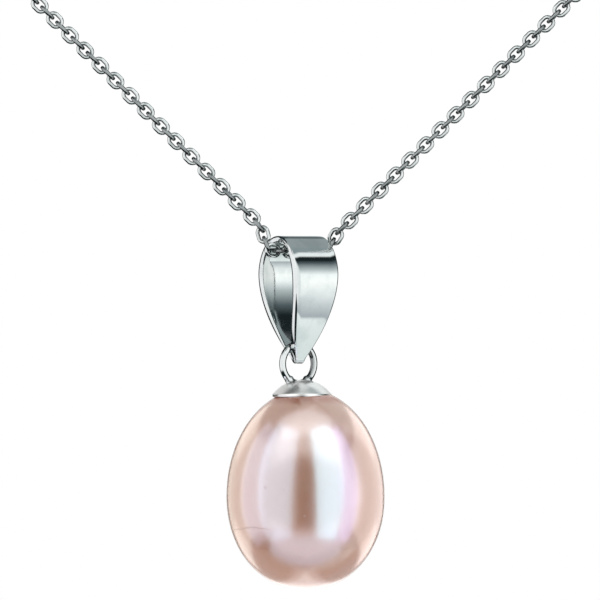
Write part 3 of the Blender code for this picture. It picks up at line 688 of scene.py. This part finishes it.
def addCap():
    # outside: a dome whose height falls as a power of the radius, and a rounded lip. Inside: a
    # hollow that follows the pearl's top, an ellipse, and leaves the dome a wall
    half, fall = cap["width"] / 2, cap["height"] - cap["rim"]
    share = np.linspace(0.02, 1, 40)
    dome = np.stack([half * share, -fall * share ** cap["round"]], -1)
    turn = np.linspace(0, np.pi, 12)[1:-1]
    lip = cap["rim"] / 2
    drop = -fall - lip * 1.6 - lip * 1.4 * np.sin(turn)
    rim = np.stack([half - lip + lip * np.cos(turn), drop], -1)
    inside = np.linspace(half - 2 * lip, 0.05 * mm, 24)
    rise = pearl["top"] * np.sqrt(1 - (2 * inside / pearl["width"]) ** 2) - shoulder
    hollow = np.stack([inside, rise - cap["height"] + 0.02 * mm], -1)
    wall = -fall * (inside / half) ** cap["round"] - cap["rim"]
    hollow[:, 1] = np.minimum(hollow[:, 1], wall)
    made = shell(turned(np.vstack([dome, rim, hollow]), capTop, 96))
    addPiece("dome_cap", [made], capFinish(), "drop", ["pearl_cap"])


def addPeg():
    # a wire with fine turned grooves that hold the cement: the radius is a cosine of the height
    reach = peg["wire"] + 2 * cap["shift"]
    top = pearlAt[2] + pearl["top"] * math.sqrt(1 - (reach / pearl["width"]) ** 2)
    height = np.linspace(-peg["length"], 0, 90)
    grooves = 0.5 + 0.5 * np.cos(height / peg["thread"] * 2 * np.pi)
    radius = peg["wire"] / 2 - peg["groove"] * grooves
    radius[[0, -1]] *= 0.8  # filed ends
    centre = np.array([capTop[0], capTop[1], top])
    profile = np.stack([radius, height], -1)
    made = shell(turned(profile, centre, 32))
    addPiece("peg", [made], pegFinish, "drop", ["pearl_peg"])


def addPearl():
    # radius and height follow an ellipse above the widest place and a superellipse below it. Slow
    # waves round the axis make it slightly uneven, and a hole runs down from the top
    look = pearl
    half = look["width"] / 2
    holeTurn = math.acos(look["hole"] / half)
    above = np.linspace(0, np.pi / 2, 70)
    above = above[above < holeTurn - 0.01]
    upper = np.stack([half * np.cos(above), look["top"] * np.sin(above)], -1)
    power = 2 / look["fullness"]
    below = np.linspace(0, np.pi / 2, 80)[-2:0:-1]
    lower = np.stack([half * np.cos(below) ** power, -look["foot"] * np.sin(below) ** power], -1)
    edge = math.sin(holeTurn) * look["top"]
    depth = np.linspace(edge, look["top"] - look["holeDepth"], 13)
    bore = np.stack([np.full(13, look["hole"]), depth], -1)
    grid = turned(np.vstack([lower, upper, bore]), np.zeros(3), 160)
    flat = grid[: len(lower) + len(upper) + 1]
    around = np.arctan2(flat[..., 1], flat[..., 0])
    high = flat[..., 2] / look["foot"]
    wave = 0.6 * np.sin(2 * around + 0.6) + 0.5 * np.sin(4.2 * high + 0.4)
    wave += 0.5 * np.sin(3 * around + 2.1 * high + 1.0)
    fade = np.clip((look["top"] - flat[..., 2]) / (3 * mm), 0, 1)
    flat[..., :2] *= 1 - look["uneven"] * (np.abs(wave) * fade)[..., None]
    grid += pearlAt
    addPiece("drop_pearl", [shell(grid)], nacreFinish(), "drop", ["pearl"])


def nacreFinish():
    # peach, rose and cream clouds under a soft bright coat, with growth lines, pits, a crease, and
    # a painted shadow under the cap
    look = pearl
    peach, rosy, creamy = look["tones"]

    def build(bench):
        place = bench.node("ShaderNodeTexCoord", out=3)
        sockets = {0: place, 1: tuple(pearlAt)}
        centred = bench.node("ShaderNodeVectorMath", {"operation": "SUBTRACT"}, sockets)
        x, z = bench.parts(centred)[::2]
        cloud = bench.noise(place, 260.0, 3.0, 0.55)
        rose = bench.step(cloud + x * 30.0 - z * 12.0, 0.38, 0.70)
        cream = bench.step(bench.noise(centred, 420.0) + z * 40.0, 0.45, 0.75)
        colour = bench.mix(rose, peach, rosy)
        colour = bench.mix(cream * 0.55, colour, creamy)
        lines = z * 5200.0 + bench.noise(centred, 1.0, 0.0) * 6.0
        growth = bench.node("ShaderNodeMath", {"operation": "SINE"}, {0: lines})
        fine = bench.noise(place, 5200.0, 3.0)
        dents = 0.0
        for offset, high, radius in look["pits"]:
            reach = look["top"] if high > 0 else look["foot"]
            across, rise = 2 * offset * mm / look["width"], high * mm / reach
            deep = math.sqrt(1 - rise**2 - across**2) * look["width"] / 2
            spot = (offset * mm, -deep, high * mm)
            dents = dents + bench.near(centred, spot, 0.0, radius * 1.5 * mm)
        wander = (bench.noise(centred, 500.0) - 0.5) * look["creaseWander"]
        crease = bench.within(z + wander, *look["crease"])
        crease = crease * bench.within(x, *look["creaseAcross"])
        dents = dents + crease * 0.85
        colour = bench.mix(dents * 0.55, colour, look["dent"])
        # painted shadow of the cap: a dark, less glossy band just under it
        collar = bench.step(z, *look["collarAt"])
        colour = bench.mix(collar * 0.75, colour, look["collar"])
        waves = bench.noise(centred, 620.0)
        height = waves * 0.6 + fine * 0.03 + growth * 0.004 - dents * 0.5
        rough = 0.15 + fine * 0.03 + cloud * 0.05 + dents * 0.25
        coat = 0.95 - cream * 0.08 - dents * 0.5 - collar * 0.55
        bump = bench.bump(height, 0.35, 0.05 * mm)
        return {"Base Color": colour, "Roughness": rough, "Coat Weight": coat, "Normal": bump}

    fixed = {
        "IOR": 1.90,
        "Subsurface Weight": 0.22,
        "Subsurface Radius": (1.0, 0.55, 0.40),
        "Subsurface Scale": 0.6 * mm,
        "Coat Roughness": 0.26,
        "Coat IOR": 2.2,
    }
    return newFinish("peach nacre", build, **fixed)


addRing()
addCap()
addPeg()
addPearl()


# angles round the clasp are in degrees from +X towards +Z
clasp = {
    "width": 5.40 * mm,
    "tube": 1.20 * mm,
    "channel": 0.72 * mm,
    "gap": (56, 100),
    "bolt": (51, 181),
    "spring": (184, 286),
    "springKeep": 0.36,  # share of its length that is left when the bolt is drawn back,
    "springChord": 44,  # packed along the chord of this many degrees
    "channelEnd": 288,
    "socketPlay": 3,
    "boltWire": 0.60 * mm,
    "knobAt": 108,
    "travel": 47,  # of the bolt, for which the knob's slot is cut
    "knobWire": 0.40 * mm,
    "knobHead": 0.80 * mm,
    "knobReach": 0.75 * mm,
    "slotPlay": 0.08 * mm,
    "springWire": 0.10 * mm,
    "springTurns": 11,
    "springPlay": 0.05 * mm,
    "edge": 0.07 * mm,  # rounding of the gap's lips
}
# rings are width and wire
fitting = {
    "play": 0.03 * mm,
    "eye": (1.80 * mm, 0.35 * mm),
    "jump": (2.40 * mm, 0.35 * mm),
    "tabJump": (1.75 * mm, 0.30 * mm),
    "cut": 0.035 * mm,  # width of a jump ring's saw cut
    "tabEdge": 0.06 * mm,
}
claspRadius = (clasp["width"] - clasp["tube"]) / 2


def roundClasp(degrees):
    # unit vectors round the clasp, from +X towards +Z
    turn = np.radians(np.asarray(degrees, float))[..., None]
    return np.cos(turn) * right + np.sin(turn) * up


def bentTurned(stations, radii, sides):
    # a solid bent round the clasp: a circle of the given radius at each angle in degrees
    rise = roundClasp(stations)
    section = roundSection(1.0, sides)[None] * np.asarray(radii)[:, None, None]
    across = np.broadcast_to(-back, rise.shape)
    return shell(sweep(hubAt + claspRadius * rise, across, rise, section))


def addClasp():
    # one skin: from the channel's blind end to the gap, over the tube's lip, round the outside, and
    # over the other lip into the socket that takes the bolt's tip
    look = clasp
    low, high = look["gap"][0] + 360, look["gap"][1]
    channelEnd = look["channelEnd"]
    socketEnd = look["bolt"][0] - look["socketPlay"] + 360
    tube, bore, edge = look["tube"] / 2, look["channel"] / 2, look["edge"]
    blind = 0.02 * mm
    lip = math.degrees(edge / claspRadius) * np.array([0, 0.3, 1])
    lipRadii = [tube - edge, tube - 0.3 * edge, tube]
    channel = np.linspace(channelEnd - 2, high + 3, 26)
    body = np.linspace(high + 3, low - 3, 90)
    socket = np.linspace(low - 0.5, socketEnd, 5)
    stations = [channelEnd, channelEnd, *channel, high, *(high + lip), *body]
    stations += [*(low - lip[::-1]), low, *socket, socketEnd]
    radii = [blind] + [bore] * 28 + lipRadii + [tube] * len(body)
    radii += lipRadii[::-1] + [bore] * 6 + [blind]
    tubes = [bentTurned(stations, radii, 40)]
    piece = addPiece("spring_ring", tubes, claspFinish, "clasp", ["clasp_body"])
    # the knob's slot: a bent bar through the tube's outer wall
    half = look["knobWire"] / 2 + look["slotPlay"]
    spare = math.degrees(half / claspRadius)
    start, end = look["knobAt"], look["knobAt"] + look["travel"]
    rise = roundClasp(np.linspace(start - spare, end + spare, 24))
    bar = np.array([[-half, 0], [half, 0], [half, look["tube"]], [-half, look["tube"]]])
    across = np.broadcast_to(back, rise.shape)
    grid = sweep(hubAt + claspRadius * rise, across, rise, bar)
    cutter = putIn("slot", meshFrom("slot", [shell(grid)]))
    slot = piece.modifiers.new("slot", "BOOLEAN")
    slot.operation, slot.object = "DIFFERENCE", cutter
    graph = bpy.context.evaluated_depsgraph_get()
    cut = bpy.data.meshes.new_from_object(piece.evaluated_get(graph))
    piece.modifiers.clear()
    piece.data = cut
    bpy.data.objects.remove(cutter)


def addBolt():
    # the sliding bolt has rounded ends. Its knob is a neck and a ball, turned about its own axis
    look = clasp
    wire = look["boltWire"] / 2
    start, end = look["bolt"]
    ease = math.degrees(wire * 0.5 / claspRadius)
    turn = np.linspace(0.1, np.pi / 2, 6)
    nose = start + ease * (1 - np.sin(turn))
    tail = end - ease * (1 - np.sin(turn[::-1]))
    stations = np.concatenate([nose, np.linspace(start + ease + 1, end - ease - 1, 60), tail])
    rounded = wire * (0.5 + 0.5 * np.sin(turn))
    radii = np.concatenate([rounded, np.full(60, wire), rounded[::-1]])
    rod = bentTurned(stations, radii, 24)
    foot, ball = claspRadius + 0.05 * mm, look["knobHead"] / 2
    ballAt = claspRadius + look["tube"] / 2 + look["knobReach"]
    turn = np.linspace(-np.pi / 2 + 0.6, np.pi / 2 - 0.08, 20)
    neck = np.linspace(foot, ballAt - ball * 0.86, 8)
    radius = np.concatenate([np.full(8, look["knobWire"] / 2), ball * np.cos(turn)])
    height = np.concatenate([neck, ballAt + ball * np.sin(turn)])
    axis = roundClasp(look["knobAt"])
    path = hubAt + height[:, None] * axis
    section = roundSection(1.0, 24)[None] * radius[:, None, None]
    across, side = (np.broadcast_to(way, path.shape) for way in (back, np.cross(axis, back)))
    made = [rod, shell(sweep(path, across, side, section))]
    addPiece("bolt_and_knob", made, claspFinish, "clasp_bolt", ["clasp_bolt"])


def addSpring():
    # a helix whose axis is bent round the clasp, with its turns closer towards both ends
    look = clasp
    coil = (look["channel"] - look["springWire"]) / 2 - look["springPlay"]
    share = np.linspace(0, 1, look["springTurns"] * 20)
    start, end = look["spring"]
    rise = roundClasp(start + (end - start) * (share * 0.9 + 0.1 * share**2 * (3 - 2 * share)))
    turn = 2 * np.pi * look["springTurns"] * share[:, None]
    offset = np.cos(turn) * rise - np.sin(turn) * -back
    path = hubAt + claspRadius * rise + coil * offset
    along = unit(np.gradient(path, axis=0))
    outward = unit(offset - (offset * along).sum(1, keepdims=True) * along)
    grid = sweep(path, np.cross(along, outward), outward, roundSection(look["springWire"] / 2, 8))
    coils = [shell(grid)]
    made = addPiece("coil_spring", coils, springFinish, "clasp", ["clasp_spring"])
    # the chord along which drawing the bolt back would pack the coils, towards the end of the
    # channel; the coils are not moved, and the spring gets a mesh of its own
    chord = unit(roundClasp(start + look["springChord"]) - roundClasp(start))
    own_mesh(made)


def addFittings():
    play, cut = fitting["play"], fitting["cut"]
    eye, eyeWire = fitting["eye"]
    jump, jumpWire = fitting["jump"]
    tabJump, tabWire = fitting["tabJump"]
    eyeAt = -(clasp["width"] / 2 + play + eye / 2)
    jumpAt = eyeAt - (eye / 2 - eyeWire) + jumpWire / 2 + play - (jump - jumpWire) / 2
    tabLow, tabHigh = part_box("tab_jump_ring")
    tabJumpAt = (tabLow.x + tabHigh.x) / 2
    sets = (
        ("clasp_ring_eye", eyeAt, up, eye, eyeWire, 0.0, "clasp", "clasp_eye"),
        ("jump_ring_left", jumpAt, back, jump, jumpWire, cut, "clasp_jump_ring", "clasp_jump_ring"),
        ("jump_ring_right", tabJumpAt, up, tabJump, tabWire, cut, "tab_jump_ring", "tab_jump_ring"),
    )
    for name, place, plane, width, wire, saw, body, node in sets:
        centre, radius = hubAt + place * right, (width - wire) / 2
        made = ringShell(centre, right, plane, radius, wire, 72, 20, cut=saw)
        addPiece(name, [made], claspFinish, body, [node])


def addTab():
    # the flat tab is the CAD plate, merged and given rounded edges
    plate = frame["nodes"]["catch_tab"].data.copy()
    piece = putIn("hook_tab", plate)
    plate.materials.clear()
    plate.materials.append(claspFinish)
    weld = piece.modifiers.new("Weld", "WELD")
    weld.merge_threshold = 0.002 * mm
    bevel = piece.modifiers.new("Bevel", "BEVEL")
    bevel.width, bevel.segments, bevel.limit_method = fitting["tabEdge"], 3, "ANGLE"
    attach(piece, "catch_tab")
    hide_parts("catch_tab")
    print("hook_tab: plate with rounded edges")


addClasp()
addBolt()
addSpring()
addFittings()
addTab()


# light by direction: azimuths are degrees to the right of the camera, elevations degrees above the
# horizon, a pair is where a soft edge starts and ends, and a third number is an edge's softness
studio = {
    "aim": (0.10 * mm, 3.88 * mm),  # right of the bail's middle, and under its top
    "distance": 0.60,
    "width": 36.36 * mm,  # of the view at the pendant
    "floor": 0.075,  # under the pearl
    "dark": (0.010, 0.016, 0.018),
    "gap": (-15, 15, 3),  # the dark strip where the camera stands
    "boxHeight": (-42, 58, 5),
    "leftHeight": (-34, 36),  # of the boxes left of the flag's edge
    "leftFlag": (-64, -56),  # dark on the left of this
    "rightFlag": (108, 113),  # dark on the right of this, and under flagTop
    "flagTop": (28, 34),
    "overFlag": (0.30, 0.35, 0.36),
    "rightStrip": ((90, 113, 3), (-26, 24, 3)),  # dark, by azimuth and elevation
    "sides": (70, 111, 2),  # azimuths where the side wall stands
    "behind": (164, 170),  # the back wall starts here, on both sides
    "low": (-32, -24),  # dark under this, which blackens the under sides of the wires,
    "lowFrom": (-150, -140),  # between these azimuths
    "lowTo": (66, 72),
    # white boxes: each side's azimuth and softness, and the light by azimuth
    "leftBox": (
        (-110, 2), (-15, 2),
        ((-110, (0.95, 0.95, 0.97)), (-60, (1.0, 1.0, 1.0)), (-15, (0.84, 0.86, 0.86))),
    ),
    "rightBox": (
        (15, 2), (70, 2),
        ((15, (0.86, 0.88, 0.88)), (45, (1.0, 1.0, 1.0)), (70, (0.90, 0.94, 0.95))),
    ),
    "boxScale": 5.0,
    # walls: the light by elevation
    "tent": (
        (-90, (0.30, 0.34, 0.34)), (-44, (0.42, 0.46, 0.46)), (10, (0.60, 0.62, 0.62)),
        (62, (0.34, 0.38, 0.38)), (90, (0.30, 0.34, 0.35)),
    ),
    "sideWall": (
        (-90, (0.30, 0.36, 0.35)), (-50, (0.30, 0.36, 0.35)), (-47, (0.58, 0.65, 0.64)),
        (-42, (0.76, 0.84, 0.83)), (-32, (0.88, 0.95, 0.94)), (-31, (0.42, 0.47, 0.50)),
        (-16, (0.92, 0.97, 0.97)), (-4, (1.12, 1.16, 1.14)), (4, (1.04, 1.10, 1.09)),
        (13, (0.50, 0.56, 0.57)), (24, (0.09, 0.12, 0.13)), (29, (0.010, 0.016, 0.018)),
        (34.5, (0.012, 0.018, 0.02)), (37.5, (0.92, 0.96, 0.97)), (42, (0.90, 0.94, 0.95)),
        (45, (0.27, 0.33, 0.345)), (90, (0.34, 0.38, 0.39)),
    ),
    "backWall": (
        (-90, (0.75, 0.80, 0.78)), (-62, (0.80, 0.86, 0.84)), (-60, (0.42, 0.46, 0.48)),
        (-30, (0.86, 0.90, 0.90)), (0, (0.98, 1.0, 0.99)), (10, (0.60, 0.65, 0.66)),
        (24, (0.20, 0.24, 0.25)), (38, (0.03, 0.045, 0.05)), (60, (0.02, 0.035, 0.04)),
        (72, (0.08, 0.12, 0.13)), (90, (0.20, 0.25, 0.26)),
    ),
    # what matt surfaces see
    "softFront": (0.66, 0.64, 0.63),
    "softBack": (1.5, 1.45, 1.4),
    "softBelow": (1.1, 1.05, 1.1),
    "backdrop": (1.0, 1.0, 1.0),
    "floorTones": ((0.90, 0.90, 0.89), (0.93, 0.93, 0.93)),
    # the soft boxes below
    "away": 0.45,  # from the pearl
    "widest": 1.13,  # half angle in radians
    "power": 4.0,
}
# soft boxes that answer to some pieces only: pieces, azimuths, elevations, light
softBoxes = {
    "left_far": ("pearl", (-106, -66), (-36, 48), (0.68, 0.76, 1.02)),
    "left_near": ("pearl", (-74, -20), (-40, 60), (0.66, 1.06, 1.42)),
    "right_near": ("pearl", (16, 58), (-40, 60), (1.00, 1.95, 2.40)),
    "right_far": ("pearl", (56, 82), (-38, 52), (1.25, 1.20, 2.05)),
    "below": ("pearl", (-130, 130), (-82, -40), (0.24, 0.40, 0.62)),
    "hips": ("pearl", (-140, 140), (-68, -30), (0.44, 0.38, 0.38)),
    "shoulders": ("pearl", (-140, 140), (32, 72), (0.46, 0.42, 0.41)),
    "far_below": ("pearl", (-89, 89), (-90, -34), (0.52, 0.55, 0.62)),
    "above": ("pearl", (-130, 130), (54, 89), (0.82, 0.86, 0.92)),
    "far_above": ("pearl", (-89, 89), (36, 90), (0.52, 0.50, 0.50)),
    "behind_above": ("pearl", (100, 260), (14, 90), (0.50, 0.46, 0.44)),
    "behind_below": ("pearl", (100, 260), (-90, -14), (0.48, 0.42, 0.40)),
    "nape_above": ("pearl", (158, 202), (20, 90), (0.40, 0.38, 0.40)),
    "nape_below": ("pearl", (158, 202), (-90, -20), (0.40, 0.38, 0.40)),
    "left_rim": ("pearl", (-156, -104), (-30, 34), (0.98, 0.93, 0.86)),
    "right_rim": ("pearl", (80, 156), (-30, 34), (1.22, 1.12, 1.08)),
    "front_strip": ("silver", (-17, 17), (-24, 46), (0.66, 0.69, 0.69)),
    "over_cap": ("cap", (120, 240), (5, 70), (0.55, 0.55, 0.54)),
    "front_cap": ("cap", (-70, 70), (-10, 85), (0.35, 0.35, 0.34)),
    "chain_edge": ("chain", (58, 116), (36, 66), (0.30, 0.31, 0.31)),
}
answering = {
    "pearl": ("drop_pearl",),
    "silver": ("strap_bail", "hanging_ring", "chain_front", "chain_round_neck", "bail_link"),
    "cap": ("dome_cap",),
    "chain": ("chain_front", "bail_link"),
}


def addCamera():
    data = bpy.data.cameras.new("camera")
    data.sensor_width = 36
    data.lens = 36 * studio["distance"] / studio["width"]
    data.clip_start, data.clip_end = 0.01, 50
    camera = putIn("camera", data)
    across, under = studio["aim"]
    camera.location = bailTop + across * right - under * up - studio["distance"] * back
    camera.rotation_euler = (math.pi / 2, 0, 0)
    bpy.context.scene.camera = camera


def addWorld():
    # the studio round the piece, from the tent inwards: later parts cover earlier ones
    look = studio
    dark = look["dark"]
    world = bpy.data.worlds.new("studio")
    bpy.context.scene.world = world
    world.use_nodes = True
    world.node_tree.nodes.clear()
    bench = Bench(world.node_tree)
    x, y, z = bench.parts(bench.node("ShaderNodeTexCoord"))
    degrees = 180 / math.pi
    azimuth = bench.node("ShaderNodeMath", {"operation": "ARCTAN2"}, {0: x, 1: 0 - y}) * degrees
    elevation = bench.node("ShaderNodeMath", {"operation": "ARCSINE"}, {0: z}) * degrees

    def ramp(value, low, high, stops):
        # colours along a value between low and high
        places = [((at - low) / (high - low), colour) for at, colour in stops]
        share = (value - low) / (high - low)
        return bench.node("ShaderNodeValToRGB", {"stops": places}, {"Fac": share})

    def least(first, second):
        return bench.node("ShaderNodeMath", {"operation": "MINIMUM"}, {0: first, 1: second})

    side = bench.step(azimuth, *look["leftFlag"])
    farRight = bench.step(azimuth, *look["rightFlag"])
    upper = bench.step(elevation, *look["flagTop"])
    colour = ramp(elevation, -90, 90, look["tent"])
    walls = ramp(elevation, -90, 90, look["sideWall"])
    colour = bench.mix(bench.within(azimuth, *look["sides"]), colour, walls)
    across, along = look["rightStrip"]
    strip = bench.within(azimuth, *across) * bench.within(elevation, *along)
    flags = (1 - side) + (farRight * (1 - upper) + strip)
    colour = bench.mix(least(flags, 1.0), colour, dark)
    colour = bench.mix(farRight * upper, colour, look["overFlag"])
    start, end = look["behind"]
    behind = bench.step(azimuth, start, end) + (1 - bench.step(azimuth, -end, -start))
    walls = ramp(elevation, -90, 90, look["backWall"])
    colour = bench.mix(least(behind, 1.0), colour, walls)
    start, end, soft = look["gap"]
    bottom, top, fade = look["boxHeight"]
    tall = bench.within(elevation, bottom, top, fade)
    short = bench.within(elevation, *look["leftHeight"], fade)
    colour = bench.mix(bench.within(azimuth, start, end, soft) * tall, colour, dark)
    low = 1 - bench.step(azimuth, *look["lowTo"])
    low = low * (1 - bench.step(elevation, *look["low"]))
    tall = (tall * side + short * (1 - side)) * (1 - low)
    colour = bench.mix(low * bench.step(azimuth, *look["lowFrom"]), colour, dark)
    scale = look["boxScale"]  # a ramp holds no more than full light, so it is scaled up after
    for name in ("leftBox", "rightBox"):
        (start, soft), (end, fade), stops = look[name]
        box = bench.step(azimuth, start - soft, start + soft)
        box = box * (1 - bench.step(azimuth, end - fade, end + fade))
        stops = [(at, tuple(part / scale for part in tint)) for at, tint in stops]
        sockets = {0: ramp(azimuth, start, end, stops), 3: scale}
        light = bench.node("ShaderNodeVectorMath", {"operation": "SCALE"}, sockets)
        colour = bench.mix(box * tall, colour, light)
    seen = bench.node("ShaderNodeLightPath", out=0)
    diffuse = bench.node("ShaderNodeLightPath", out=2)
    soft = bench.mix(bench.step(y, -0.5, 0.8), look["softFront"], look["softBack"])
    soft = bench.mix(bench.step(z, -0.2, -0.9), soft, look["softBelow"])
    colour = bench.mix(diffuse, colour, soft)
    colour = bench.mix(seen, colour, look["backdrop"])
    glow = bench.node("ShaderNodeBackground", {}, {"Color": colour, "Strength": 1.0})
    bench.node("ShaderNodeOutputWorld", {}, {"Surface": glow})


def addSoftBoxes():
    # each is a rectangle that faces the pearl and spans its angles there
    groups = {}
    for name, pieces in answering.items():
        groups[name] = bpy.data.collections.new("lit with " + name)
        bpy.context.scene.collection.children.link(groups[name])
        for piece in pieces:
            groups[name].objects.link(bpy.data.objects[piece])
    away, widest = studio["away"], studio["widest"]
    for name, (pieces, azimuths, elevations, light) in softBoxes.items():
        turn, rise = (math.radians(sum(pair) / 2) for pair in (azimuths, elevations))
        spans = (math.radians(pair[1] - pair[0]) for pair in (azimuths, elevations))
        wide, high = (2 * away * math.tan(min(span / 2, widest)) for span in spans)
        wide *= math.cos(rise)
        data = bpy.data.lights.new(name, "AREA")
        data.shape, data.size, data.size_y = "RECTANGLE", wide, high
        brightest = max(light)
        data.color = tuple(part / brightest for part in light)
        data.energy = studio["power"] * brightest * wide * high
        lamp = putIn(name, data)
        flat = math.cos(rise)
        towards = np.array([math.sin(turn) * flat, -math.cos(turn) * flat, math.sin(rise)])
        lamp.location = pearlAt + away * towards
        lamp.rotation_euler = (math.pi / 2 - rise, 0, turn)
        lamp.light_linking.receiver_collection = groups[pieces]
        lamp.visible_diffuse = False


def addFloor():
    # a round pale floor, a shallow dish so that it is one closed skin with a slow swell
    look = studio
    radius = np.array([0.02, 0.6, 1.2, 2.0, 2.0, 1.2, 0.02])
    height = np.array([0.0, 0.0, 0.0, 0.0, -0.01, -0.01, -0.01])
    centre = np.array([0, 0, pearlAt[2] - pearl["foot"] - look["floor"]])
    made = shell(turned(np.stack([radius, height], -1), centre, 96))
    floor = putIn("floor", meshFrom("floor", [made]))

    def build(bench):
        soft = bench.noise(bench.placed(), 3.0, 2.0)
        return {"Base Color": bench.mix(soft, *look["floorTones"])}

    floor.data.materials.append(newFinish("pale floor", build, Roughness=0.9))
    floor.visible_glossy = False


addCamera()
addWorld()
addSoftBoxes()
addFloor()
bpy.context.scene.view_settings.view_transform = "Standard"
print("studio ready")
